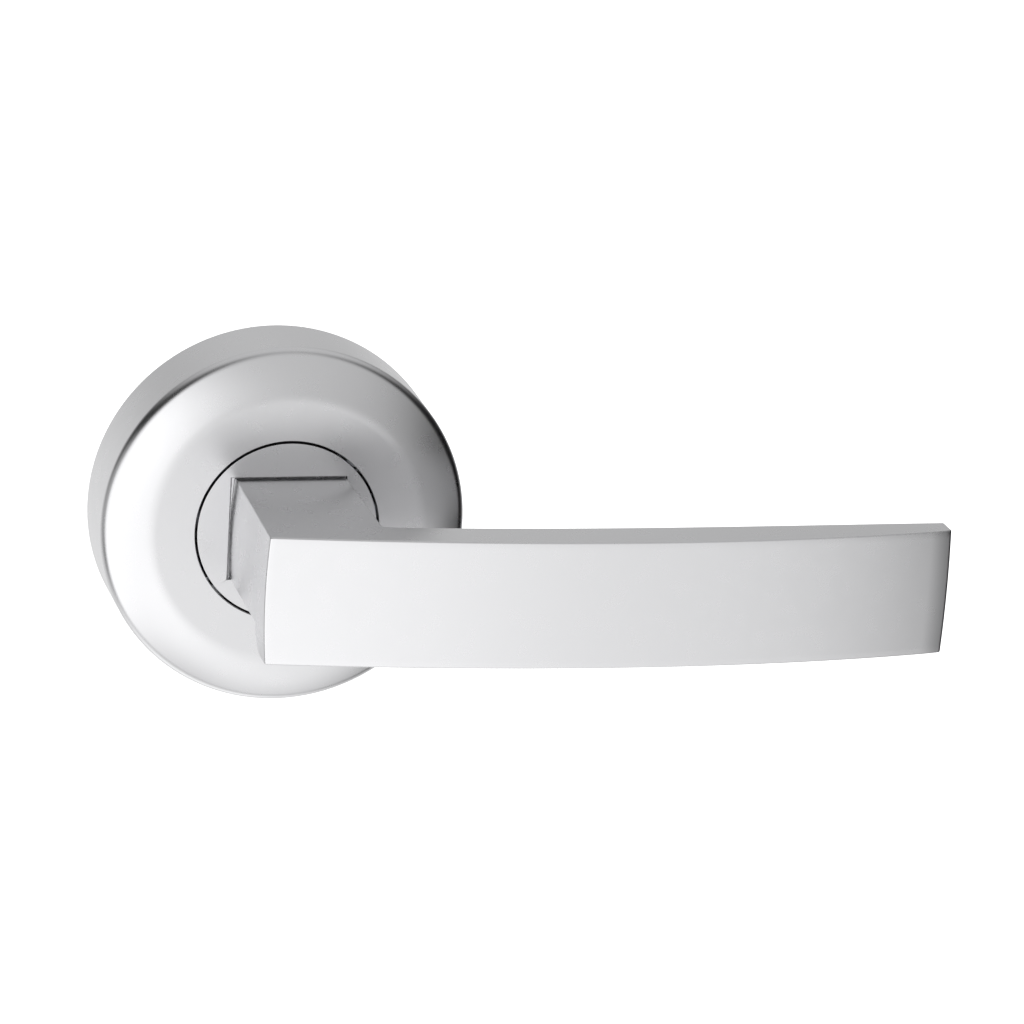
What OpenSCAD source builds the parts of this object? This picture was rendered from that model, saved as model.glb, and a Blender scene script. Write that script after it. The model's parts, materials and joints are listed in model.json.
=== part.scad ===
// Lever handle on a round rose, one side of a door's passage set.
// The door's face is the plane Y = 0. The handle stands out of it towards -Y, and the
// spindle's axis is the Y axis. The lever points along +X and +Z is up.
// "Depth" below is a distance out from the door's face, so depth d is at Y = -d.

/* [Rose] */
// Outside diameter of the rose where it meets the door
rose_d = 65; // [62:0.5:68]
// Depth at which the rose's straight side ends and its edge starts to turn
rose_side = 13.3; // [12.8:0.1:13.6]
// Radius of the rose's front edge
rose_edge_r = 2; // [1.5:0.1:2.5]
// Slope of the rose's face just inside its edge, in degrees
shoulder_slope = 20; // [17:1:22]
// Slope of the rose's face where its convex ring ends, in degrees
brow_slope = 11; // [8:1:13]
// Radius at which that ring ends and the face bends over into a gentler cone
brow_r = 25; // [24:0.1:26]
// Radius of the bend between the convex ring and the cone
bend_r = 12; // [8:0.5:16]
// Slope of the cone that rises to the collar's hole, in degrees
cone_slope = 1; // [0.5:0.5:3]
// Thickness of the rose cover
rose_wall = 1.6; // [1.2:0.1:1.8]

/* [Collar] */
// Radius of the round collar that turns with the lever
collar_r = 15.9; // [15:0.1:16]
// Gap between the collar and the rose
collar_gap = 0.45; // [0.35:0.05:0.6]
// Depth of the collar's face
collar_face = 17.2; // [17:0.1:17.4]
// Width of the shadow groove round the neck
groove_w = 0.4; // [0.3:0.05:0.5]

/* [Lever] */
// Width of the neck
neck_w = 20; // [19:0.5:20]
// Level of the top of the neck and of the blade, above the spindle's axis
top_z = 9.1; // [8.8:0.1:9.4]
// Level of the neck's underside
neck_z = -8.6; // [-8.8:0.1:-8.4]
// Level of the blade's lower edge
blade_z = -13.4; // [-15:0.1:-13]
// Distance from the spindle's axis to the tip
reach = 110; // [95:1:125]
// Depth of the blade's front face at its neck end
front_start = 48.3; // [46:0.1:50]
// Depth of the blade's front face at its tip
front_end = 51.2; // [49:0.1:53]
// Slope at which the front face leaves the neck end
front_rise = 0.16; // [0.1:0.01:0.2]
// Slope at which the front face comes back to the door at the tip
front_fall = 0.16; // [0.1:0.01:0.2]
// Thickness of the blade at its neck end
blade_t = 7.9; // [7:0.1:9]
// Thickness of the blade at its tip
tip_t = 4.3; // [4:0.1:6]
// Radius of the tip's front edge
tip_r = 1; // [0.8:0.1:3]
// How far the crowned ends bulge over the height of the blade
crown = 0.5; // [0.3:0.1:0.8]

/* [Fixing] */
// Side of the square spindle
spindle_w = 8; // [8:8]
// How far the spindle stands out behind the door's face
spindle_back = 65; // [55:1:75]
// Distance between the two fixing posts
post_centres = 38; // [38:38]
// Length of the fixing posts behind the door's face
post_back = 28; // [22:1:30]
// Radius of the hole in each post
post_bore_r = 2; // [2:2]
// Distance between the two wood screws
wood_centres = 44; // [43:0.5:46]

/* [Movement] */
// How far the lever turns down, in degrees
travel = 50; // [40:1:55]
// Diameter of the return spring's wire
wire_d = 1.1; // [0.9:0.1:1.2]
// Turns of the return spring
spring_turns = 2.8; // [2.5:0.05:2.95]

/* [Hidden] */

EPS = 0.01;
ROUND = 96;            // facets of a full turn, for shapes that stay true curves
STEPS = 24;            // points along each curved stretch of an outline

rose_r = rose_d / 2;
rose_front_r = rose_r - 0.2;               // the side wall draws in slightly
hole_r = collar_r + collar_gap;

// depths of the stack behind the collar
shank_end = 0.6;
clip_at = 1.05;
clip_t = 1;
plate_web = 2.95;                          // the plate's rear pocket ends here
plate_t = 4.4;
floor_t = 1;                               // floor of the spring housing
hub_start = 5.7;
stop_start = 10.5;
hub_end = 11.7;
housing_end = 12;
cover_t = 1;
flange_t = 0.8;
collar_back = 14.6;
collar_ledge = 16;                         // the neck's shoulder sits on this ledge

// radii of the stack
shank_r = 8;
bush_fit = 0.06;                           // running clearance of the shank in its bushes
bush_r = 9.4;
groove_r = 7.2;
flat_half = 6.6;                           // half the width across the shank's two flats
hub_r = 10.6;
spring_r = 12.25;
dog_r = 13.5;
housing_in = 13.9;
housing_r = 14.9;
ear_at = 18;
ear_r = 3.2;
pocket_r = 12.2;
plate_r = rose_r - 2;

// angles round the spindle, seen from the front, counted from +X towards +Z
dog_at = 90;
dog_half = 12;
stop_play = 1;
buffer_a = 6;
stop_a = 18;

tenon_w = neck_w - 1.4;
tenon_lo = neck_z + 0.7;
tenon_hi = top_z - 0.7;
socket_w = spindle_w + 0.2;
socket_end = 31;
spindle_front = 30;
grub_at = 24;
grub_r = 2.5;
post_r = 3.5;
wood_r = 1.6;
wood_head_r = 3.5;
wood_head_h = 2.2;
thread_fit = 0.05;
screw_ears = [45, 135, 225, 315];
clip_angles = [45, 165, 285];
rivet_at = 27;

satin = [0.80, 0.80, 0.81];
zinc = [0.62, 0.63, 0.65];
steel = [0.70, 0.71, 0.73];
nylon = [0.92, 0.91, 0.86];

// ---------------------------------------------------------------- helpers

// Puts a shape drawn up +Z so that it stands out of the door from depth d.
module out(d = 0) {
    translate([0, -d, 0]) rotate([90, 0, 0]) children();
}

module ring(r_out, r_in, h) {
    difference() {
        cylinder(r = r_out, h = h, $fn = ROUND);
        translate([0, 0, -1]) cylinder(r = r_in, h = h + 2, $fn = ROUND);
    }
}

// A block bent round the axis between two radii and two angles.
module sector(r_in, r_out, from_a, to_a, h) {
    rotate([0, 0, from_a])
        rotate_extrude(angle = to_a - from_a, $fn = ROUND)
            translate([r_in, 0]) square([r_out - r_in, h]);
}

// An arc of points: centre c, radius r, from angle a to angle b.
function arc(c, r, a, b, n = STEPS) =
    [for (i = [0:n]) let (t = a + (b - a) * i / n) [c[0] + r * cos(t), c[1] + r * sin(t)]];

// One coordinate of a cubic curve with control values p, at t from 0 to 1.
function cubic(p, t) = let (s = 1 - t)
    p[0] * s * s * s + 3 * p[1] * s * s * t + 3 * p[2] * s * t * t + p[3] * t * t * t;

function reversed(list) = [for (i = [len(list) - 1:-1:0]) list[i]];

// ---------------------------------------------------------------- rose

// The face is a convex ring, a tighter bend, and a gentle cone that rises to the collar.
edge_c = [rose_front_r - rose_edge_r, rose_side];
edge_end = 90 - shoulder_slope;
shoulder_from = edge_c + rose_edge_r * [cos(edge_end), sin(edge_end)];
shoulder_r = (shoulder_from[0] - brow_r) / (sin(shoulder_slope) - sin(brow_slope));
shoulder_c = shoulder_from - shoulder_r * [sin(shoulder_slope), cos(shoulder_slope)];
brow = shoulder_c + shoulder_r * [sin(brow_slope), cos(brow_slope)];
bend_c = brow - bend_r * [sin(brow_slope), cos(brow_slope)];
cone_from = bend_c + bend_r * [sin(cone_slope), cos(cone_slope)];
cone_rise = (cone_from[0] - hole_r) * tan(cone_slope);

face_line = concat(
    arc(shoulder_c, shoulder_r, 90 - shoulder_slope, 90 - brow_slope),
    arc(bend_c, bend_r, 90 - brow_slope, 90 - cone_slope),
    [[hole_r, cone_from[1] + cone_rise]]);
lining_r = rose_r - rose_wall;

module rose_cover() {
    inner_line = [for (p = reversed(face_line)) if (p[0] < lining_r - 0.3) p - [0, rose_wall]];
    bead_at = 8;
    bead_w = 1.1;
    bead_deep = 0.35;
    color(satin) out() rotate_extrude($fn = ROUND)
        polygon(concat(
            [[rose_r, 0]],
            arc(edge_c, rose_edge_r, 0, edge_end, 10),
            face_line,
            inner_line,
            [[lining_r, inner_line[len(inner_line) - 1][1] - 0.3],
             [lining_r, bead_at + bead_w],
             [lining_r + bead_deep, bead_at + bead_w / 2],
             [lining_r, bead_at],
             [lining_r, 0]]));
}

module neck_collar() {
    edge = 0.2;
    recess_w = neck_w + 2 * groove_w;
    recess_h = top_z - neck_z + 2 * groove_w;
    fit = 0.1;
    color(satin) out() difference() {
        rotate_extrude($fn = ROUND)
            polygon([[0, collar_back], [collar_r, collar_back], [collar_r, collar_face - edge],
                     [collar_r - edge, collar_face], [0, collar_face]]);
        translate([-recess_w / 2, neck_z - groove_w, collar_ledge])
            cube([recess_w, recess_h, collar_face]);
        translate([-tenon_w / 2 - fit, tenon_lo - fit, 0])
            cube([tenon_w + 2 * fit, tenon_hi - tenon_lo + 2 * fit, collar_face + 1]);
    }
}

// ---------------------------------------------------------------- lever

blade_x0 = -neck_w / 2;
third = (reach - blade_x0) / 3;
front_ctl = [front_start, front_start + front_rise * third,
             front_end + front_fall * third, front_end];
back_ctl = [front_start - blade_t, front_start - 0.2, front_end - tip_t - 0.4,
            front_end - tip_t];

function along(t) = blade_x0 + (reach - blade_x0) * t;
function front_at(t) = cubic(front_ctl, t);
function back_at(t) = cubic(back_ctl, t);

// The blade's outline from above, in x and depth, with its front tip edge rounded.
module blade_plan() {
    tip_share = 1 - tip_r / (reach - blade_x0);
    front = [for (i = [0:STEPS]) let (t = tip_share * i / STEPS) [along(t), front_at(t)]];
    tip_c = [reach - tip_r, front_at(tip_share) - tip_r];
    polygon(concat(
        front,
        arc(tip_c, tip_r, 84, 0, 8),
        [for (i = [STEPS:-1:0]) let (t = i / STEPS) [along(t), back_at(t)]]));
}

// The neck from above: it widens a little on its right side where it meets the blade.
module neck_plan() {
    flare = 0.7;
    fillet_r = 2.5;
    join = back_at(0.17);
    polygon(concat(
        [[-neck_w / 2, collar_ledge], [-neck_w / 2, join]],
        reversed(arc([neck_w / 2 + flare + fillet_r, join - fillet_r], fillet_r, 180, 90, 8)),
        [[neck_w / 2, collar_ledge]]));
}

// Drawn in x and depth, raised along +Z between two levels.
module raised(lo, hi) {
    translate([0, 0, lo]) linear_extrude(height = hi - lo) mirror([0, 1]) children();
}

// A drum along Y whose side crowns both the left end and the tip.
module crowned(x_face, side) {
    half = (top_z - blade_z) / 2;
    r = (half * half + crown * crown) / (2 * crown);
    translate([x_face - side * r, 0, (top_z + blade_z) / 2])
        rotate([90, 0, 0]) cylinder(r = r, h = 2 * front_end, $fn = ROUND);
}

module lever_handle() {
    color(satin) difference() {
        union() {
            intersection() {
                union() {
                    raised(blade_z, top_z) blade_plan();
                    raised(neck_z, top_z) neck_plan();
                }
                crowned(blade_x0, -1);
                crowned(reach, 1);
            }
            out(collar_back) translate([-tenon_w / 2, tenon_lo, 0])
                cube([tenon_w, tenon_hi - tenon_lo, collar_ledge - collar_back + EPS]);
            shank();
        }
        out(0) translate([-socket_w / 2, -socket_w / 2, 0])
            cube([socket_w, socket_w, socket_end]);
        translate([0, -grub_at, neck_z - 3])
            cylinder(r = grub_r + thread_fit, h = -neck_z, $fn = ROUND);
    }
}

// Round where it runs in its bushes, with two flats for the hub and a groove for the clip.
module shank() {
    out(shank_end) difference() {
        cylinder(r = shank_r, h = collar_back - shank_end + EPS, $fn = ROUND);
        for (side = [-1, 1])
            translate([side * (flat_half + 2) - 2, -shank_r, hub_start - shank_end - 0.1])
                cube([4, 2 * shank_r, hub_end - hub_start + 0.2]);
        translate([0, 0, clip_at - 0.05 - shank_end]) ring(shank_r + 1, groove_r, clip_t + 0.1);
    }
}

// ---------------------------------------------------------------- rose's inside

module mounting_plate() {
    pockets = [[14, 20.5, 16, 74], [14, 20.5, 106, 164], [14, 20.5, 196, 254], [14, 20.5, 286, 344],
               [24.5, 28.8, 12, 78], [24.5, 28.8, 102, 168], [24.5, 28.8, 192, 258],
               [24.5, 28.8, 282, 348]];
    pocket_deep = 2.2;
    boss_r = 3;
    color(zinc) out() difference() {
        union() {
            difference() {
                cylinder(r = plate_r, h = plate_t, $fn = ROUND);
                for (p = pockets) translate([0, 0, -EPS]) sector(p[0], p[1], p[2], p[3], pocket_deep);
            }
            for (a = screw_ears) rotate([0, 0, a]) translate([ear_at, 0, 0])
                cylinder(r = boss_r, h = plate_t - EPS, $fn = ROUND);
            for (a = clip_angles) rotate([0, 0, a]) translate([rivet_at, 0, 0])
                cylinder(r = boss_r - 0.7, h = plate_t - EPS, $fn = ROUND);
        }
        translate([0, 0, -1]) cylinder(r = pocket_r, h = plate_web + 1, $fn = ROUND);
        cylinder(r = bush_r + thread_fit, h = plate_t + 1, $fn = ROUND);
        for (side = [-1, 1]) {
            translate([side * post_centres / 2, 0, -1])
                cylinder(r = post_r + thread_fit, h = plate_t + 2, $fn = ROUND);
            translate([0, side * wood_centres / 2, -1])
                cylinder(r = wood_r + 0.25, h = plate_t + 2, $fn = ROUND);
            translate([0, side * wood_centres / 2, plate_t - wood_head_h - 0.1])
                cylinder(r1 = wood_r + 0.1, r2 = wood_head_r + 0.2, h = wood_head_h + 0.11, $fn = ROUND);
        }
        for (a = screw_ears) rotate([0, 0, a]) translate([ear_at, 0, 1.4])
            cylinder(r = 1.55, h = plate_t, $fn = ROUND);
        for (a = clip_angles) rotate([0, 0, a]) translate([rivet_at, 0, 1.4])
            cylinder(r = 1.25, h = plate_t, $fn = ROUND);
    }
}

module ears(h, hole) {
    difference() {
        union() {
            children();
            for (a = screw_ears) rotate([0, 0, a]) {
                translate([ear_at, 0, 0]) cylinder(r = ear_r, h = h, $fn = ROUND);
                translate([housing_in + 0.4, -2.4, 0]) cube([ear_at - housing_in, 4.8, h]);
            }
        }
        for (a = screw_ears) rotate([0, 0, a]) translate([ear_at, 0, -1])
            cylinder(r = hole, h = h + 2, $fn = ROUND);
    }
}

module spring_housing() {
    h = housing_end - plate_t;
    anchor_h = 1.4;
    anchor_from = dog_at - dog_half - stop_play - 360 * spring_turns - 2;
    rest_stop = dog_at + dog_half + stop_play + buffer_a;
    end_stop = dog_at - travel - dog_half - stop_play - buffer_a;
    lug_in = 11.2;
    lug_out = (housing_in + housing_r) / 2;    // the lugs and the floor end inside the wall
    color(steel) out(plate_t) ears(h, 1.6) {
        ring(housing_r, housing_in, h);
        ring(lug_out, bush_r + thread_fit, floor_t);
        translate([0, 0, floor_t / 2])
            sector(lug_in, lug_out, anchor_from - 24, anchor_from, anchor_h + floor_t / 2);
        translate([0, 0, stop_start - plate_t]) {
            sector(lug_in, lug_out, rest_stop, rest_stop + stop_a, housing_end - stop_start);
            sector(lug_in, lug_out, end_stop - stop_a, end_stop, housing_end - stop_start);
        }
    }
}

// Pads on the two stops, which the hub's dog lands on.
module stop_buffers() {
    rest_stop = dog_at + dog_half + stop_play;
    end_stop = dog_at - travel - dog_half - stop_play - buffer_a;
    color(nylon) out(stop_start) for (a = [rest_stop, end_stop])
        sector(11.4, housing_in - 0.05, a, a + buffer_a, housing_end - stop_start - 0.1);
}

module housing_cover() {
    color(steel) out(housing_end) ears(cover_t, 1.6)
        ring(housing_r, bush_r + thread_fit, cover_t);
}

module lever_bush() {
    color(nylon) out() rotate_extrude($fn = ROUND)
        polygon([[shank_r + bush_fit, hub_end + 0.2], [bush_r, hub_end + 0.2],
                 [bush_r, housing_end + cover_t], [11.5, housing_end + cover_t],
                 [11.5, housing_end + cover_t + flange_t],
                 [shank_r + bush_fit, housing_end + cover_t + flange_t]]);
}

module plate_bush() {
    color(nylon) out(plate_web) ring(bush_r, shank_r + bush_fit, plate_t + floor_t - plate_web);
}

module drive_hub() {
    lug_start = 9.2;
    color(zinc) out() difference() {
        union() {
            translate([0, 0, hub_start]) cylinder(r = hub_r, h = hub_end - hub_start, $fn = ROUND);
            translate([0, 0, lug_start])
                sector(hub_r - 1, dog_r, dog_at - dog_half, dog_at + dog_half, hub_end - lug_start);
        }
        intersection() {
            cylinder(r = shank_r + thread_fit, h = collar_back, $fn = ROUND);
            translate([-flat_half - thread_fit, -shank_r - 1, 0])
                cube([2 * (flat_half + thread_fit), 2 * shank_r + 2, collar_back]);
        }
    }
}

// ---------------------------------------------------------------- spring and washers

// A closed tube: rings of points joined side to side, with a flat cap at each end.
module tube(rings, sides) {
    last = (len(rings) - 1) * sides;
    polyhedron(
        points = [for (r = rings) each r],
        faces = concat(
            [[for (j = [sides - 1:-1:0]) j]],
            [[for (j = [0:sides - 1]) last + j]],
            [for (i = [0:len(rings) - 2], j = [0:sides - 1]) let (k = (j + 1) % sides)
                [i * sides + j, i * sides + k, (i + 1) * sides + k, (i + 1) * sides + j]]));
}

module return_spring() {
    wire_r = wire_d / 2;
    pitch = wire_d + 0.1;
    sides = 10;
    per_turn = 24;
    n = ceil(spring_turns * per_turn);
    end_a = dog_at - dog_half - stop_play;
    start_a = end_a - 360 * spring_turns;
    start_d = plate_t + floor_t + wire_r + 0.2;
    rings = [for (i = [0:n]) let (t = i / n, a = start_a + 360 * spring_turns * t,
                                  d = start_d + pitch * spring_turns * t)
        [for (j = [0:sides - 1]) let (b = 360 * j / sides, r = spring_r + wire_r * cos(b))
            [r * cos(a), r * sin(a), d + wire_r * sin(b)]]];
    color(steel) out() tube(rings, sides);
}

// A thin spring ring with three waves, squeezed between the bush and the collar.
module wave_washer() {
    waves = 3;
    n = 72;
    thick = 0.3;
    r_in = shank_r + 0.4;
    r_out = 11.2;
    low = housing_end + cover_t + flange_t + 0.1;
    height = collar_back - low - thick - EPS;
    function lift(i) = low + height * (1 - cos(360 * waves * i / n)) / 2;
    points = [for (i = [0:n - 1]) let (a = 360 * i / n, z = lift(i))
        each [[r_in * cos(a), r_in * sin(a), z], [r_out * cos(a), r_out * sin(a), z],
              [r_out * cos(a), r_out * sin(a), z + thick], [r_in * cos(a), r_in * sin(a), z + thick]]];
    faces = [for (i = [0:n - 1], j = [0:3]) let (k = (j + 1) % 4, m = (i + 1) % n)
        [i * 4 + k, i * 4 + j, m * 4 + j, m * 4 + k]];
    color(steel) out() polyhedron(points = points, faces = faces);
}

module retaining_washer() {
    color(steel) out(clip_at + clip_t + 0.02) ring(11.4, shank_r + 0.2, 0.8);
}

// An open ring with two drilled ears.
module circlip() {
    gap_half = 14;
    ear_c = groove_r + 2.4;
    color([0.25, 0.25, 0.27]) out(clip_at) difference() {
        union() {
            sector(groove_r + 0.03, groove_r + 2, 270 + gap_half, 630 - gap_half, clip_t);
            for (side = [-1, 1]) rotate([0, 0, 270 + side * (gap_half + 4)])
                translate([ear_c, 0, 0]) cylinder(r = 1.6, h = clip_t, $fn = ROUND);
        }
        for (side = [-1, 1]) rotate([0, 0, 270 + side * (gap_half + 4)])
            translate([ear_c, 0, -1]) cylinder(r = 0.75, h = clip_t + 2, $fn = ROUND);
        translate([0, 0, -1]) cylinder(r = groove_r + 0.02, h = clip_t + 2, $fn = ROUND);
    }
}

// ---------------------------------------------------------------- spindle and fasteners

module spindle() {
    half = spindle_w / 2;
    chamfer = 0.8;
    length = spindle_front + spindle_back;
    side_line = [[-half, chamfer], [-half + chamfer, 0], [half - chamfer, 0], [half, chamfer],
                 [half, length - chamfer], [half - chamfer, length], [-half + chamfer, length],
                 [-half, length - chamfer]];
    color(steel) translate([0, spindle_back, 0]) rotate([90, 0, 0]) intersection() {
        rotate([90, 0, 0]) translate([0, 0, -half]) linear_extrude(height = spindle_w)
            polygon(side_line);
        rotate([90, 0, 90]) translate([0, 0, -half]) linear_extrude(height = spindle_w)
            polygon(side_line);
    }
}

module grub_screw() {
    length = -neck_z - 0.2 - spindle_w / 2;
    color([0.2, 0.2, 0.22]) translate([0, -grub_at, neck_z + 0.2]) difference() {
        rotate_extrude($fn = ROUND)
            polygon([[0, 0], [grub_r - 0.3, 0], [grub_r, 0.3], [grub_r, length - 0.8],
                     [grub_r - 0.8, length], [0, length]]);
        translate([0, 0, -1]) cylinder(r = 1.45, h = 3, $fn = 6);
    }
}

// Sleeves with a hexagon head, drilled right through, with two snap-off grooves.
module fixing_posts() {
    head_h = 2.4;
    notch = 0.45;
    seat = plate_t + 0.5;
    snap = [12, 20];
    barrel = concat([[0, -post_back], [post_r - 0.4, -post_back], [post_r, -post_back + 0.4]],
        [for (y = reversed(snap)) each [[post_r, -y - 0.5], [post_r - notch, -y], [post_r, -y + 0.5]]],
        [[post_r, seat + EPS], [0, seat + EPS]]);
    color(zinc) for (side = [-1, 1]) out() translate([side * post_centres / 2, 0, 0]) difference() {
        union() {
            rotate_extrude($fn = ROUND) polygon(barrel);
            translate([0, 0, seat]) cylinder(r = 4.1, h = head_h, $fn = 6);
        }
        translate([0, 0, -post_back - 1])
            cylinder(r = post_bore_r, h = post_back + seat + head_h + 2, $fn = ROUND);
    }
}

module post_washers() {
    color(steel) for (side = [-1, 1]) out(plate_t) translate([side * post_centres / 2, 0, 0])
        ring(4, post_r + thread_fit, 0.5);
}

// Countersunk screws; rings of ridges stand for the thread.
module wood_screws() {
    tip = -17;
    thread_from = -2;
    ridges = 9;
    pitch = 1.4;
    ridge = 0.45;
    line = concat(
        [[0, tip], [wood_r, thread_from - ridges * pitch]],
        [for (i = [ridges - 1:-1:0]) each [[wood_r + ridge, thread_from - (i + 0.5) * pitch],
                                           [wood_r, thread_from - i * pitch]]],
        [[wood_r, plate_t - wood_head_h], [wood_head_r, plate_t - 0.1], [0, plate_t - 0.1]]);
    color(steel) for (side = [-1, 1]) out() translate([0, side * wood_centres / 2, 0]) difference() {
        rotate_extrude($fn = ROUND) polygon(line);
        for (a = [0, 90]) rotate([0, 0, a + 45])
            translate([-2, -0.4, plate_t - 1.4]) cube([4, 0.8, 3]);
    }
}

module housing_screws() {
    seat = housing_end + cover_t;
    head_h = 1.2;
    end = 1.6;
    color(steel) for (a = screw_ears) out() rotate([0, 0, a]) translate([ear_at, 0, 0]) difference() {
        rotate_extrude($fn = ROUND)
            polygon([[0, end], [1.2, end], [1.5, end + 0.3], [1.5, seat], [2.7, seat],
                     [2.7, seat + head_h - 0.5], [2.2, seat + head_h], [0, seat + head_h]]);
        for (b = [0, 90]) rotate([0, 0, b])
            translate([-1.4, -0.3, seat + 0.5]) cube([2.8, 0.6, 2]);
    }
}

// Spring strips at the plate's rim that grip the groove inside the rose cover.
module cover_clips() {
    t = 0.5;
    width = 7;
    r_foot = 24.6;
    r_up = plate_r - 0.4;
    line = [[r_foot, 0], [r_up, 0], [r_up, 3.2], [r_up + 0.62, 4.1], [r_up, 5.1],
            [r_up - 0.8, 6], [r_up - 0.8 - t, 6], [r_up - t, 4.8], [r_up - t + 0.4, 4.1],
            [r_up - t, 3.4], [r_up - t, t], [r_foot, t]];
    color(steel) for (a = clip_angles) out(plate_t) rotate([0, 0, a]) difference() {
        translate([0, width / 2, 0]) rotate([90, 0, 0]) linear_extrude(height = width) polygon(line);
        translate([rivet_at, 0, -1]) cylinder(r = 1.3, h = 3, $fn = ROUND);
    }
}

module clip_rivets() {
    color(steel) for (a = clip_angles) out() rotate([0, 0, a]) translate([rivet_at, 0, 0])
        rotate_extrude($fn = ROUND)
            polygon(concat([[0, 1.5], [1.2, 1.5], [1.2, plate_t + 0.5], [2.1, plate_t + 0.5],
                            [2, plate_t + 0.8], [1.5, plate_t + 1.15], [0, plate_t + 1.3]]));
}

lever_handle();
neck_collar();
rose_cover();
mounting_plate();
spring_housing();
housing_cover();
return_spring();
drive_hub();
stop_buffers();
lever_bush();
plate_bush();
wave_washer();
retaining_washer();
circlip();
spindle();
grub_screw();
fixing_posts();
post_washers();
wood_screws();
housing_screws();
cover_clips();
clip_rivets();
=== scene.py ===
import json
import math

import bmesh
import bpy
from mathutils import Matrix, Vector


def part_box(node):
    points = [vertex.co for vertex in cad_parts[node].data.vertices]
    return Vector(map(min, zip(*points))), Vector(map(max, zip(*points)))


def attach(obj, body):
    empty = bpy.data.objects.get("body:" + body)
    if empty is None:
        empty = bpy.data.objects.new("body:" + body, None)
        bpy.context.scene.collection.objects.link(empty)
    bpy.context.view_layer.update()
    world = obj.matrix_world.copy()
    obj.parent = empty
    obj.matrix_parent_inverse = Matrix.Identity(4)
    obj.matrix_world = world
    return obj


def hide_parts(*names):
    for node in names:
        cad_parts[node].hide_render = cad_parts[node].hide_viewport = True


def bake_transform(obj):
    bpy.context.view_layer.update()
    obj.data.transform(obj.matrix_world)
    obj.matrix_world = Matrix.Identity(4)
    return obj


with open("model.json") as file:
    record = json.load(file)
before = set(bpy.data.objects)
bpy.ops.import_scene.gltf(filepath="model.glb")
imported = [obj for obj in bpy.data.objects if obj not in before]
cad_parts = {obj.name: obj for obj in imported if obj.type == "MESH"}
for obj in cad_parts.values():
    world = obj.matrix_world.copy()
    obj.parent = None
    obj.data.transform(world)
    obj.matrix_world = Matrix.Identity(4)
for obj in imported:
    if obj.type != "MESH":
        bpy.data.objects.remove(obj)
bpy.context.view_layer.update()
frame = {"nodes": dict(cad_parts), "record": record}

MM = 0.001                                 # the shapes below are worked out in millimetres

# ---------------------------------------------------------------- sizes from the frame


def box_mm(node):
    """A node's lowest and highest corners, in millimetres."""
    low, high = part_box(node)
    return low / MM, high / MM


_, ROSE_HIGH = box_mm("rose_cover")
COLLAR_LOW, COLLAR_HIGH = box_mm("neck_collar")
LEVER_LOW, LEVER_HIGH = box_mm("lever_handle")

ROSE_R = ROSE_HIGH.z
COLLAR_R = COLLAR_HIGH.z
COLLAR_FACE = -COLLAR_LOW.y
COLLAR_BACK = -COLLAR_HIGH.y
BLADE_LEFT, REACH = LEVER_LOW.x, LEVER_HIGH.x
BLADE_BOTTOM, BLADE_TOP = LEVER_LOW.z, LEVER_HIGH.z


# ---------------------------------------------------------------- curves


def sin(degrees):
    """The sine of an angle in degrees."""
    return math.sin(math.radians(degrees))


def cos(degrees):
    """The cosine of an angle in degrees."""
    return math.cos(math.radians(degrees))


def arc(cx, cy, radius, a, b, n):
    """Points on an arc, with its angles in degrees."""
    turn = [math.radians(a + (b - a) * i / n) for i in range(n + 1)]
    return [(cx + radius * math.cos(t), cy + radius * math.sin(t)) for t in turn]


def circle(radius, depth, steps, level=0.0):
    """Points on a circle about a line along the spindle's axis, at a depth and a level."""
    turn = [2 * math.pi * i / steps for i in range(steps)]
    return [(radius * math.cos(t), depth, level + radius * math.sin(t)) for t in turn]


def cubic(p, t):
    """One coordinate of a cubic curve with four control values."""
    s = 1 - t
    return p[0] * s ** 3 + 3 * p[1] * s * s * t + 3 * p[2] * s * t * t + p[3] * t ** 3


# ---------------------------------------------------------------- mesh helpers


def new_object(name, verts, faces):
    """A mesh object from points in millimetres, in x, depth out of the door, and z."""
    mesh = bpy.data.meshes.new(name)
    mesh.from_pydata([(x * MM, -d * MM, z * MM) for x, d, z in verts], [], faces)
    mesh.update()
    ob = bpy.data.objects.new(name, mesh)
    bpy.context.scene.collection.objects.link(ob)
    face_outwards(ob)
    return ob


def face_outwards(ob):
    """Turns every face of a closed mesh outwards."""
    bm = bmesh.new()
    bm.from_mesh(ob.data)
    bmesh.ops.recalc_face_normals(bm, faces=bm.faces)
    bm.to_mesh(ob.data)
    bm.free()


def lofted(name, rings):
    """A closed solid through rings of points, with a flat cap at each end."""
    n = len(rings[0])
    verts = [p for ring in rings for p in ring]
    faces = [list(range(n))[::-1], [(len(rings) - 1) * n + j for j in range(n)]]
    for i in range(len(rings) - 1):
        for j in range(n):
            k = (j + 1) % n
            faces.append([i * n + j, i * n + k, (i + 1) * n + k, (i + 1) * n + j])
    return new_object(name, verts, faces)


def turned(name, outline, steps=256):
    """A solid of revolution about the spindle's axis, from a closed outline of (radius, depth)."""
    verts, faces = [], []
    n = len(outline)
    for i in range(steps):
        a = 2 * math.pi * i / steps
        verts += [(r * math.cos(a), d, r * math.sin(a)) for r, d in outline]
        for j in range(n):
            k, m = (j + 1) % n, (i + 1) % steps
            faces.append([i * n + j, i * n + k, m * n + k, m * n + j])
    return new_object(name, verts, faces)


def drum(name, radius, depth_a, depth_b, steps=128):
    """A plain cylinder about the spindle's axis between two depths."""
    return lofted(name, [circle(radius, d, steps) for d in (depth_a, depth_b)])


def block(name, low, high):
    """A box between two corners given in x, depth and z."""
    (x0, d0, z0), (x1, d1, z1) = low, high
    ring = [(x0, z0), (x1, z0), (x1, z1), (x0, z1)]
    return lofted(name, [[(x, d, z) for x, z in ring] for d in (d0, d1)])


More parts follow.
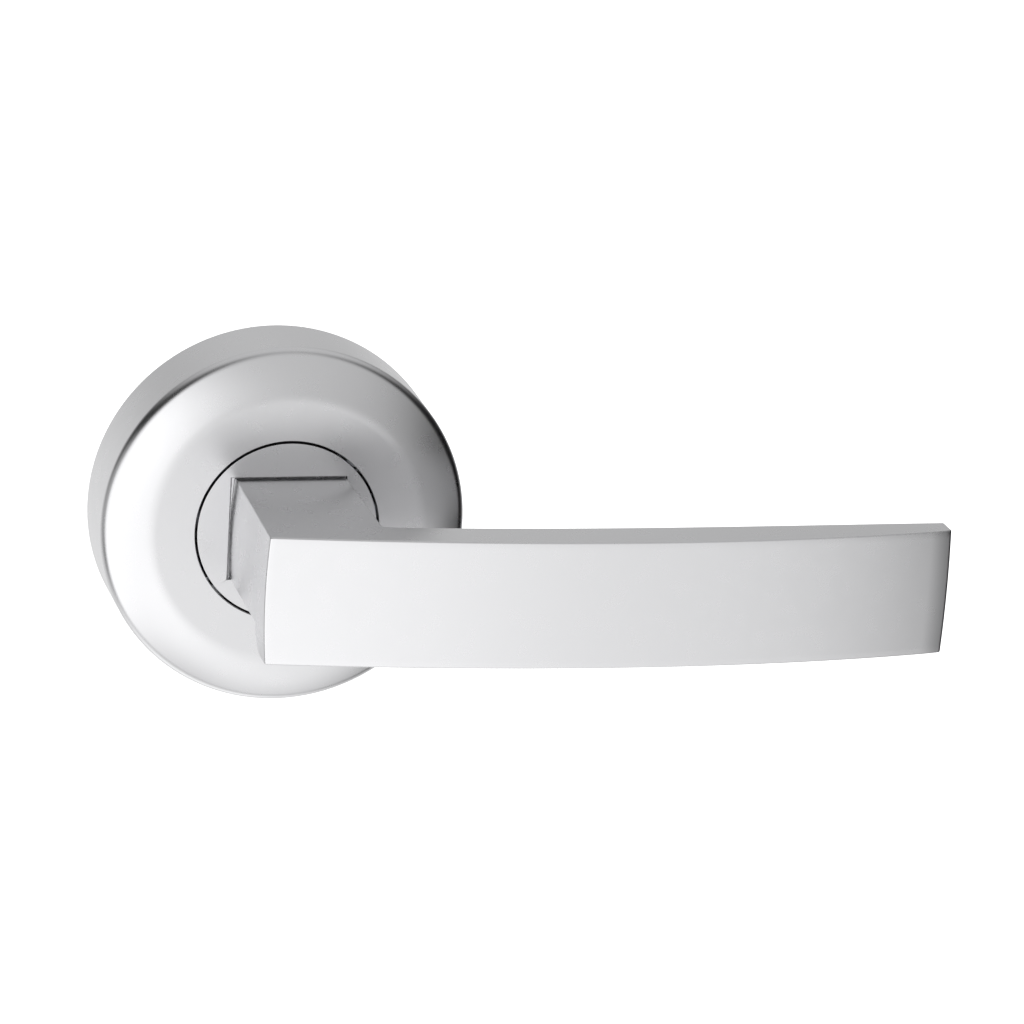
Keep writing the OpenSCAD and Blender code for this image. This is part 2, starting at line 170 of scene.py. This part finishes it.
def combine(ob, other, operation):
    """Adds or cuts away another closed mesh, which is used up."""
    mod = ob.modifiers.new("combine", "BOOLEAN")
    mod.operation = operation
    mod.solver = "EXACT"
    mod.object = other
    bake_modifiers(ob)
    bpy.data.objects.remove(other)
    return ob


def bake_modifiers(ob):
    """Makes what the modifiers show the object's own mesh."""
    bpy.context.view_layer.update()
    shown = ob.evaluated_get(bpy.context.evaluated_depsgraph_get())
    mesh = bpy.data.meshes.new_from_object(shown)
    ob.modifiers.clear()
    ob.data = mesh
    return ob


def soften(ob, width, segments=3, angle=28):
    """Rounds the sharp edges and shades the faces smoothly between them."""
    mod = ob.modifiers.new("edges", "BEVEL")
    mod.width = width * MM
    mod.segments = segments
    mod.limit_method = "ANGLE"
    mod.angle_limit = math.radians(angle)
    mod.use_clamp_overlap = False
    bake_modifiers(ob)
    return shade(ob)


def shade(ob, angle=35):
    """Smooth shading, weighted so that large flat faces stay flat."""
    ob.data.shade_smooth()
    bm = bmesh.new()
    bm.from_mesh(ob.data)
    for edge in bm.edges:
        edge.smooth = not edge.is_manifold or edge.calc_face_angle() < math.radians(angle)
    bm.to_mesh(ob.data)
    bm.free()
    mod = ob.modifiers.new("normals", "WEIGHTED_NORMAL")
    mod.keep_sharp = True
    return bake_modifiers(ob)


def joined(name, obs):
    """One object that holds several closed shells."""
    bm = bmesh.new()
    for ob in obs:
        bm.from_mesh(ob.data)
    mesh = bpy.data.meshes.new(name)
    bm.to_mesh(mesh)
    bm.free()
    for ob in obs:
        bpy.data.objects.remove(ob)
    ob = bpy.data.objects.new(name, mesh)
    bpy.context.scene.collection.objects.link(ob)
    return ob


def clad(ob, slot, *nodes):
    """Gives a piece the material of its slot, and hides the CAD nodes it stands for."""
    ob.data.materials.clear()
    ob.data.materials.append(SLOT_MATERIALS[slot])
    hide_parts(*nodes)
    return ob


# ---------------------------------------------------------------- rose cover

EDGE_R = 2.0                               # rounding of the front edge
SIDE_DRAW = 0.2                            # the side wall draws in by this much at its front
SIDE_END = 13.3                            # depth at which the front edge starts to turn
SHOULDER, BROW, CONE = 20, 11, 1           # slopes of the face, in degrees, from edge to hole
BROW_R, BEND_R = 25.0, 12.0                # where the outer ring ends, and how it bends over
HOLE_R = COLLAR_R + 0.38                   # leaves the gap round the collar
WALL = 1.6                                 # thickness of the shell
LIP, BACK_EDGE = 0.12, 0.15                # how far the hole's edge and the back edge are broken
LINING_GAP, LINING_DROP = 0.3, 0.4         # the small slope where the lining meets the side wall


def rose_face():
    """The face from its front edge to the collar's hole: a convex ring round a gentler cone."""
    bend_steps, ring_steps, cone_steps = 16, 40, 8
    points = arc(ROSE_R - SIDE_DRAW - EDGE_R, SIDE_END, EDGE_R, 0, 90 - SHOULDER, bend_steps)
    r0, d0 = points[-1]
    big = (r0 - BROW_R) / (sin(SHOULDER) - sin(BROW))
    cx, cy = r0 - big * sin(SHOULDER), d0 - big * cos(SHOULDER)
    points += arc(cx, cy, big, 90 - SHOULDER, 90 - BROW, ring_steps)[1:]
    r1, d1 = points[-1]
    cx, cy = r1 - BEND_R * sin(BROW), d1 - BEND_R * cos(BROW)
    points += arc(cx, cy, BEND_R, 90 - BROW, 90 - CONE, bend_steps)[1:]
    r2, d2 = points[-1]
    rise = (r2 - HOLE_R) * math.tan(math.radians(CONE))
    cone = [k / cone_steps for k in range(1, cone_steps + 1)]
    return points + [(r2 + (HOLE_R - r2) * t, d2 + rise * t) for t in cone]


def rose_cover():
    """The shell: its side, its face, the edge of the hole, and the lining back to the door."""
    side_steps = 12
    side = [(ROSE_R - SIDE_DRAW * k / side_steps,
             BACK_EDGE + (SIDE_END - BACK_EDGE) * k / side_steps) for k in range(side_steps)]
    face = rose_face()
    r_in, d_in = face[-1]
    face[-1] = (r_in + LIP, d_in)
    lining = ROSE_R - WALL
    inner = [(r, d - WALL) for r, d in face[::-4] if r < lining - LINING_GAP]
    outline = [*side, *face, (r_in, d_in - LIP), (r_in, d_in - WALL), *inner,
               (lining, inner[-1][1] - LINING_DROP), (lining, 0), (ROSE_R - BACK_EDGE, 0)]
    ob = shade(turned("rose_shell", outline))
    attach(ob, "rose")
    return clad(ob, "satin_chrome", "rose_cover")


# ---------------------------------------------------------------- collar

NECK_LEFT, NECK_RIGHT = BLADE_LEFT, 10.1
NECK_BOTTOM = -8.6
NECK_LIFT = 0.4                            # the neck's top rises this much towards the collar
LEDGE = 16.0                               # depth of the seat that the neck stands on
GROOVE, GROOVE_FLOOR = 0.4, 14.9           # the shadow groove's width, and the depth of its floor
TENON_INSET = 0.6                          # how far the tenon's hole is inside the neck


def neck_collar():
    """The disc, with the groove cut round a seat for the neck, and the tenon's hole."""
    core = 0.4                             # goes with the tenon's hole
    slack, sink, bite = 0.1, 0.2, 0.3      # overlaps that keep the faces of the blocks apart
    ob = turned("collar", [(core, COLLAR_BACK), (COLLAR_R, COLLAR_BACK), (COLLAR_R, COLLAR_FACE),
                           (core, COLLAR_FACE)])
    recess = block("cut", (NECK_LEFT - GROOVE, GROOVE_FLOOR, NECK_BOTTOM - slack),
                   (NECK_RIGHT + slack, COLLAR_FACE + 1, BLADE_TOP + NECK_LIFT + GROOVE))
    combine(ob, recess, "DIFFERENCE")
    seat = block("add", (NECK_LEFT, GROOVE_FLOOR - sink, NECK_BOTTOM - bite),
                 (NECK_RIGHT + bite, LEDGE, BLADE_TOP + NECK_LIFT))
    combine(ob, seat, "UNION")
    tenon = block("cut", (NECK_LEFT + TENON_INSET, COLLAR_BACK - 1, NECK_BOTTOM + TENON_INSET),
                  (NECK_RIGHT - TENON_INSET, LEDGE + 1, BLADE_TOP - TENON_INSET))
    combine(ob, tenon, "DIFFERENCE")
    soften(ob, 0.07, 2)
    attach(ob, "lever")
    return clad(ob, "satin_chrome", "neck_collar")


# ---------------------------------------------------------------- lever

FRONT = (48.3, 54.7, 57.6, 51.2)           # front face's depth at four even control points
BACK = (40.4, 48.1, 46.5, 46.9)            # and the back face's
ROLL, ROLL_DROP = 4.0, 0.14                # length and depth of the roll-off at the tip
PALM_R, PALM_FLAT = 4.0, 0.7               # rounding of the lower back edge, and what it leaves
CROWN = 0.5                                # how far the ends bow outwards
CROWN_FADE, CROWN_POWER = 18.0, 1.5        # how far along the lever the bow dies away, and how
TIP_CROWN = 0.5                            # the tip bows by this share of it
NECK_JOIN = 13.0                           # where the neck's right side reaches the blade's back
NECK_FLARE, NECK_FILLET = 0.6, 1.2         # how the right side spreads and turns into the blade
PROUD, DIVE = 0.01, 1.2                    # the hair by which the neck stands out, and its run-out


def share(x):
    """How far along the blade x is, from 0 at the neck end to 1 at the tip."""
    return (x - BLADE_LEFT) / (REACH - BLADE_LEFT)


def blade_ring(x, front):
    """The blade's section at x, whose front face is at the given depth."""
    back = cubic(BACK, share(x))
    half = 0.5 * (cubic(FRONT, share(x)) - back)
    r = min(PALM_R, half, front - back - PALM_FLAT)
    palm = arc(back + r, BLADE_BOTTOM + r, r, 180, 270, 8)
    corners = [(front, BLADE_BOTTOM), (front, BLADE_TOP), (back, BLADE_TOP)]
    return [(x, d, z) for d, z in [*corners, *palm]]


def blade():
    """The blade, whose front face rolls back a little over its last few millimetres."""
    x_roll = REACH - ROLL
    steps, roll_steps = 96, 8
    stops = [BLADE_LEFT + (x_roll - BLADE_LEFT) * i / steps for i in range(steps)]
    stops += [x_roll + ROLL * i / roll_steps for i in range(roll_steps + 1)]
    rings = []
    for x in stops:
        past = max(0, (x - x_roll) / ROLL)
        rings.append(blade_ring(x, cubic(FRONT, share(x)) - ROLL_DROP * past * past))
    return lofted("lever", rings)


def proud_of(d, join):
    """How far a face of the neck stands out past the blade's: a hair, until it dives in."""
    return PROUD if d <= join else PROUD - 2 * PROUD * (d - join) / DIVE


def neck_top(d, join):
    """The level of an edge of the neck's top face, which meets the blade's back at join."""
    lift = NECK_LIFT * (join - d) / (join - LEDGE) if d <= join else 0
    return BLADE_TOP + (lift + proud_of(d, join))


def neck():
    """The square neck. Its top and left faces run into the blade's by a hair, so they merge."""
    join_left, join_right = cubic(BACK, 0), cubic(BACK, share(NECK_JOIN))
    start = join_right - NECK_FILLET
    between = [24, 32]                     # depths of two sections on the way to the blade
    stops = [LEDGE, *between, join_left, join_left + DIVE / 2, join_left + DIVE, start]
    stops += [start + NECK_FILLET * sin(9 * k) for k in range(1, 11)]
    stops += [join_right + DIVE]
    rings = []
    for d in sorted(stops):
        right = NECK_RIGHT + NECK_FLARE * min(1, (d - LEDGE) / (start - LEDGE))
        bend = min(NECK_FILLET, max(0, d - start))
        right += NECK_FILLET - math.sqrt(NECK_FILLET * NECK_FILLET - bend * bend)
        left = NECK_LEFT - proud_of(d, join_left)
        rings.append([(left, d, NECK_BOTTOM), (right, d, NECK_BOTTOM),
                      (right, d, neck_top(d, join_right)), (left, d, neck_top(d, join_left))])
    return lofted("neck", rings)


def crown_ends(ob):
    """Cuts level rows across the lever and bows its two ends outwards between top and bottom."""
    rows, merge = 16, 0.08
    bm = bmesh.new()
    bm.from_mesh(ob.data)
    for k in range(1, rows):
        z = BLADE_BOTTOM + (BLADE_TOP - BLADE_BOTTOM) * k / rows
        bmesh.ops.bisect_plane(bm, geom=bm.verts[:] + bm.edges[:] + bm.faces[:], dist=1e-7,
                               plane_co=(0, 0, z * MM), plane_no=(0, 0, 1))
    bmesh.ops.remove_doubles(bm, verts=bm.verts, dist=merge * MM)
    middle, half = (BLADE_TOP + BLADE_BOTTOM) / 2, (BLADE_TOP - BLADE_BOTTOM) / 2
    for v in bm.verts:
        x, z = v.co.x / MM, v.co.z / MM
        bow = CROWN * ((z - middle) / half) ** 2
        left = max(0.0, 1 - (x - BLADE_LEFT) / CROWN_FADE) ** CROWN_POWER
        tip = max(0.0, 1 - (REACH - x) / CROWN_FADE) ** CROWN_POWER
        v.co.x += (bow * left - TIP_CROWN * bow * tip) * MM
    bm.to_mesh(ob.data)
    bm.free()


SHANK_R, SHANK_END = 8.0, 0.6              # the shank's radius, and the depth of its rear end
CLIP_R, CLIP_FROM, CLIP_TO = 7.2, 1.0, 2.1  # the circlip's groove: its floor and its depths
FLAT, FLAT_FROM, FLAT_TO = 6.6, 5.6, 11.8  # the two flats that carry the hub
SHANK_CUT = 9.0                            # outer limit of what is cut from the shank
SOCKET, SOCKET_END = 4.1, 31.0             # half the width of the spindle's socket, and its end
GRUB_DEPTH, GRUB_R, GRUB_REACH = 24.0, 2.55, 6.0    # its hole: depth, radius, reach into the neck


def shank():
    """The hidden end of the lever: tenon and round shank, with the spindle's socket."""
    overlap = 0.2                          # of the shank and the tenon
    ob = drum("shank", SHANK_R, SHANK_END, COLLAR_BACK + overlap)
    inset, inset_right = TENON_INSET + 0.1, TENON_INSET + 0.2
    tenon = block("add", (NECK_LEFT + inset, COLLAR_BACK, NECK_BOTTOM + inset),
                  (NECK_RIGHT - inset_right, LEDGE, BLADE_TOP - inset))
    combine(ob, tenon, "UNION")
    groove = turned("cut", [(CLIP_R, CLIP_FROM), (SHANK_CUT, CLIP_FROM), (SHANK_CUT, CLIP_TO),
                            (CLIP_R, CLIP_TO)], 128)
    combine(ob, groove, "DIFFERENCE")
    for low, high in ((-SHANK_CUT, -FLAT), (FLAT, SHANK_CUT)):
        flat = block("cut", (low, FLAT_FROM, -SHANK_CUT), (high, FLAT_TO, SHANK_CUT))
        combine(ob, flat, "DIFFERENCE")
    socket = block("cut", (-SOCKET, 0, -SOCKET), (SOCKET, LEDGE + 1, SOCKET))
    combine(ob, socket, "DIFFERENCE")
    return shade(ob)


def lever_handle():
    """The casting: blade and neck in one, the spindle's socket, the grub screw's hole, the shank."""
    ob = combine(blade(), neck(), "UNION")
    crown_ends(ob)
    socket = block("cut", (-SOCKET, LEDGE - 1, -SOCKET), (SOCKET, SOCKET_END, SOCKET))
    combine(ob, socket, "DIFFERENCE")
    half = 10.0
    hole = drum("cut", GRUB_R, -half, half, 64)
    hole.data.transform(Matrix.Rotation(math.pi / 2, 4, "X"))
    level = NECK_BOTTOM + GRUB_REACH - half
    hole.data.transform(Matrix.Translation((0, -GRUB_DEPTH * MM, level * MM)))
    combine(ob, hole, "DIFFERENCE")
    soften(ob, 0.3)
    ob = joined("lever_casting", [ob, shank()])
    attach(ob, "lever")
    return clad(ob, "satin_chrome", "lever_handle")


# ---------------------------------------------------------------- wood screws

WOOD_LOW, WOOD_HIGH = box_mm("wood_screws")
CORE_R, POINT_R, HEAD_H = 1.6, 0.04, 2.1
HEAD_LAND, HEAD_EDGE = 0.15, 0.05          # the straight part of the head's rim, and its edge
PITCH, RIDGE = 1.4, 0.45                   # of the thread
THREAD_FROM, THREAD_TO = -2.0, -14.6       # depths between which the thread runs
CROSS_ARM, CROSS_HALF, CROSS_DEPTH = 2.0, 0.4, 1.3  # the cross in the head


def thread_height(turns, depth):
    """How far the thread stands out of the core, after this many turns along the screw."""
    run_in = min(1, (THREAD_FROM - depth) / PITCH, (depth - THREAD_TO) / PITCH + 0.5)
    crest = max(0, math.cos(2 * math.pi * turns)) ** 3
    return RIDGE * max(0, run_in) * crest


def wood_screw(level):
    """One countersunk screw with a helical thread, centred at this level."""
    tip, top = -WOOD_HIGH.y, -WOOD_LOW.y
    head_r = WOOD_HIGH.x
    around, step = 40, 0.1
    count = round((top - HEAD_H - tip) / step)
    rings = []
    for i in range(count + 1):
        depth = tip + (top - HEAD_H - tip) * i / count
        core = min(CORE_R, POINT_R + CORE_R * (depth - tip) / (THREAD_TO - tip))
        ring = []
        for j in range(around):
            r = core + thread_height(depth / PITCH + j / around, depth)
            a = 2 * math.pi * j / around
            ring.append((r * math.cos(a), depth, level + r * math.sin(a)))
        rings.append(ring)
    rim = [(head_r, top - HEAD_LAND), (head_r, top - HEAD_EDGE), (head_r - 2 * HEAD_EDGE, top)]
    rings += [circle(r, depth, around, level) for r, depth in rim]
    ob = lofted("screw", rings)
    for turn in (45, 135):
        slot = block("cut", (-CROSS_ARM, top - CROSS_DEPTH, -CROSS_HALF),
                     (CROSS_ARM, top + 1, CROSS_HALF))
        slot.data.transform(Matrix.Rotation(math.radians(turn), 4, "Y"))
        slot.data.transform(Matrix.Translation((0, 0, level * MM)))
        combine(ob, slot, "DIFFERENCE")
    return shade(ob, 50)


def wood_screws():
    """The two screws, one above the spindle and one below."""
    level = (WOOD_HIGH.z - WOOD_LOW.z) / 2 - WOOD_HIGH.x
    ob = joined("wood_screw_pair", [wood_screw(level), wood_screw(-level)])
    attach(ob, "rose")
    return clad(ob, "zinc_plated_steel", "wood_screws")


# ---------------------------------------------------------------- return spring

SPRING_LOW, SPRING_HIGH = box_mm("return_spring")
COIL_R, WIRE_R, SPRING_TURNS = 12.25, 0.55, 2.8     # the CAD's own
SPRING_END = 77.0                          # angle of the end that the hub's dog pushes


def return_spring():
    """The coil, from its rear end, which stays in the housing, to its front end, which the hub's dog
    pushes.
    """
    rear, front = -SPRING_HIGH.y + WIRE_R, -SPRING_LOW.y - WIRE_R
    around, per_turn = 16, 72
    count = round(SPRING_TURNS * per_turn)
    wire = circle(WIRE_R, 0, around)
    rings = []
    for i in range(count + 1):
        t = i / count
        a = math.radians(SPRING_END - 360 * SPRING_TURNS * (1 - t))
        depth = rear + (front - rear) * t
        rings.append([((COIL_R + out) * math.cos(a), depth + up, (COIL_R + out) * math.sin(a))
                      for out, _, up in wire])
    ob = shade(lofted("return_coil", rings), 50)
    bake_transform(ob)
    return clad(ob, "spring_steel", "return_spring")


# ---------------------------------------------------------------- materials


def shader(name):
    """A new material and its main shader."""
    mat = bpy.data.materials.new(name)
    mat.use_nodes = True
    return mat, mat.node_tree.nodes["Principled BSDF"]


def link(mat, a, out, b, into):
    """Joins an output of one node to an input of another."""
    mat.node_tree.links.new(a.outputs[out], b.inputs[into])


def noise(mat, scale, detail=4):
    """Noise in the object's own space; scale is features to the metre."""
    coord = mat.node_tree.nodes.new("ShaderNodeTexCoord")
    tex = mat.node_tree.nodes.new("ShaderNodeTexNoise")
    tex.inputs["Scale"].default_value = scale
    tex.inputs["Detail"].default_value = detail
    link(mat, coord, "Object", tex, "Vector")
    return tex


def ranged(mat, tex, low, high, bsdf, socket):
    """Drives one of the shader's sockets with noise, between two values."""
    span = mat.node_tree.nodes.new("ShaderNodeMapRange")
    span.inputs["From Min"].default_value = 0.3
    span.inputs["From Max"].default_value = 0.7
    span.inputs["To Min"].default_value = low
    span.inputs["To Max"].default_value = high
    link(mat, tex, "Fac", span, "Value")
    link(mat, span, "Result", bsdf, socket)


def bumped(mat, tex, bsdf, distance):
    """Lets noise stand this far out of the surface, in metres."""
    bump = mat.node_tree.nodes.new("ShaderNodeBump")
    bump.inputs["Strength"].default_value = 1.0
    bump.inputs["Distance"].default_value = distance
    link(mat, tex, "Fac", bump, "Height")
    link(mat, bump, "Normal", bsdf, "Normal")


def metal(name, color, rough, grain, depth, spread=0.03):
    """A metal with a fine grain: its roughness varies a little and its surface is not quite even."""
    mat, bsdf = shader(name)
    bsdf.inputs["Metallic"].default_value = 1.0
    bsdf.inputs["Base Color"].default_value = (*color, 1)
    ranged(mat, noise(mat, grain / 12, 3), rough - spread, rough + spread, bsdf, "Roughness")
    bumped(mat, noise(mat, grain), bsdf, depth)
    return mat


def nylon():
    """Off-white, a little waxy."""
    mat, bsdf = shader("nylon")
    bsdf.inputs["Base Color"].default_value = (0.80, 0.79, 0.73, 1)
    bsdf.inputs["Subsurface Weight"].default_value = 0.2
    bsdf.inputs["Subsurface Scale"].default_value = 0.002
    ranged(mat, noise(mat, 400), 0.45, 0.6, bsdf, "Roughness")
    bumped(mat, noise(mat, 1500), bsdf, 0.00001)
    return mat


SLOT_MATERIALS = {
    "satin_chrome": metal("satin_chrome", (0.64, 0.64, 0.65), 0.28, 3500, 0.000001, 0.01),
    "zinc_casting": metal("zinc_casting", (0.42, 0.43, 0.45), 0.52, 1200, 0.00003),
    "zinc_plated_steel": metal("zinc_plated_steel", (0.58, 0.60, 0.63), 0.3, 2200, 0.000006),
    "spring_steel": metal("spring_steel", (0.30, 0.30, 0.32), 0.34, 1800, 0.000006),
    "black_steel": metal("black_steel", (0.05, 0.05, 0.055), 0.42, 1600, 0.00001),
    "nylon": nylon(),
}


def dress_cad_nodes():
    """Puts each carried-over CAD node in the material of its slot."""
    for part in frame["record"]["subparts"]:
        mesh = frame["nodes"][part["node"]].data
        mesh.materials.clear()
        mesh.materials.append(SLOT_MATERIALS[part["material_slot"]])


# ---------------------------------------------------------------- light, floor and camera

# Where the light comes from, in degrees round from the front towards the right and up from
# level, how far it spreads in degrees, and how strong it is.
PATCHES = [
    (-38, -11, 51, 1.68),                  # big soft box to the left of the front
    (19, -33, 35, 1.2),                    # lower one in front
    (-87, 0, 30, 0.5),                     # card on the left
    (-43, -72, 52, 0.7),                   # the bright table below
    (10, 25, 50, 0.78),                    # overhead, in front
    (161, 69, 65, 0.75),                   # overhead, behind
    (-174, -39, 88, 1.0),                  # the white paper behind
]


def toward(azimuth, elevation):
    """The direction at these angles, in degrees, from the front and from level."""
    a, e = math.radians(azimuth), math.radians(elevation)
    return Vector((math.sin(a) * math.cos(e), -math.cos(a) * math.cos(e), math.sin(e)))


def dot_with(tree, coord, direction):
    """The cosine of the angle between the view's direction and this one."""
    node = tree.nodes.new("ShaderNodeVectorMath")
    node.operation = "DOT_PRODUCT"
    tree.links.new(coord, node.inputs[0])
    node.inputs[1].default_value = direction
    return node.outputs["Value"]


def studio():
    """A dark surround with soft patches of light in it."""
    world = bpy.data.worlds.new("studio")
    bpy.context.scene.world = world
    world.use_nodes = True
    tree = world.node_tree
    background = tree.nodes["Background"]
    background.inputs["Color"].default_value = (1, 1, 1, 1)
    coord = tree.nodes.new("ShaderNodeTexCoord").outputs["Generated"]
    total = None
    for azimuth, elevation, width, strength in PATCHES:
        span = tree.nodes.new("ShaderNodeMapRange")
        span.interpolation_type = "SMOOTHERSTEP"
        span.inputs["From Min"].default_value = math.cos(math.radians(width))
        span.inputs["From Max"].default_value = 1.0
        span.inputs["To Max"].default_value = strength
        tree.links.new(dot_with(tree, coord, toward(azimuth, elevation)), span.inputs["Value"])
        if total is None:
            total = span.outputs["Result"]
            continue
        add = tree.nodes.new("ShaderNodeMath")
        tree.links.new(total, add.inputs[0])
        tree.links.new(span.outputs["Result"], add.inputs[1])
        total = add.outputs["Value"]
    tree.links.new(total, background.inputs["Strength"])


def floor():
    """A plain pale floor well below the handle, which only the camera sees."""
    size, level = 8.0, -0.5
    mesh = bpy.data.meshes.new("floor")
    corners = [(-size, -size, level), (size, -size, level), (size, size, level), (-size, size, level)]
    mesh.from_pydata(corners, [], [(0, 1, 2, 3)])
    ob = bpy.data.objects.new("floor", mesh)
    bpy.context.scene.collection.objects.link(ob)
    mat, bsdf = shader("floor")
    bsdf.inputs["Base Color"].default_value = (0.9, 0.9, 0.9, 1)
    bsdf.inputs["Emission Color"].default_value = (1, 1, 1, 1)
    bsdf.inputs["Emission Strength"].default_value = 1.0
    mesh.materials.append(mat)
    ob.visible_glossy = False
    ob.visible_diffuse = False


def camera():
    """Above and to the left of the handle, a long way off, and turned a little."""
    azimuth, elevation, roll = -15.33, 17.33, math.radians(3.66)
    distance, lens = 0.728, 146.85
    target = Vector((38.1, -25.0, 5.3)) * MM
    back = toward(azimuth, elevation)
    right = toward(azimuth + 90, 0)
    up = back.cross(right)
    turn = Matrix((math.cos(roll) * right + math.sin(roll) * up,
                   math.cos(roll) * up - math.sin(roll) * right, back)).transposed()
    data = bpy.data.cameras.new("camera")
    data.lens = lens
    data.clip_start = 0.01
    ob = bpy.data.objects.new("camera", data)
    bpy.context.scene.collection.objects.link(ob)
    ob.matrix_world = Matrix.Translation(target + back * distance) @ turn.to_4x4()
    bpy.context.scene.camera = ob


# ---------------------------------------------------------------- the scene

bpy.context.scene.view_settings.view_transform = "Standard"
dress_cad_nodes()
rose_cover()
neck_collar()
lever_handle()
wood_screws()
return_spring()
studio()
floor()
camera()
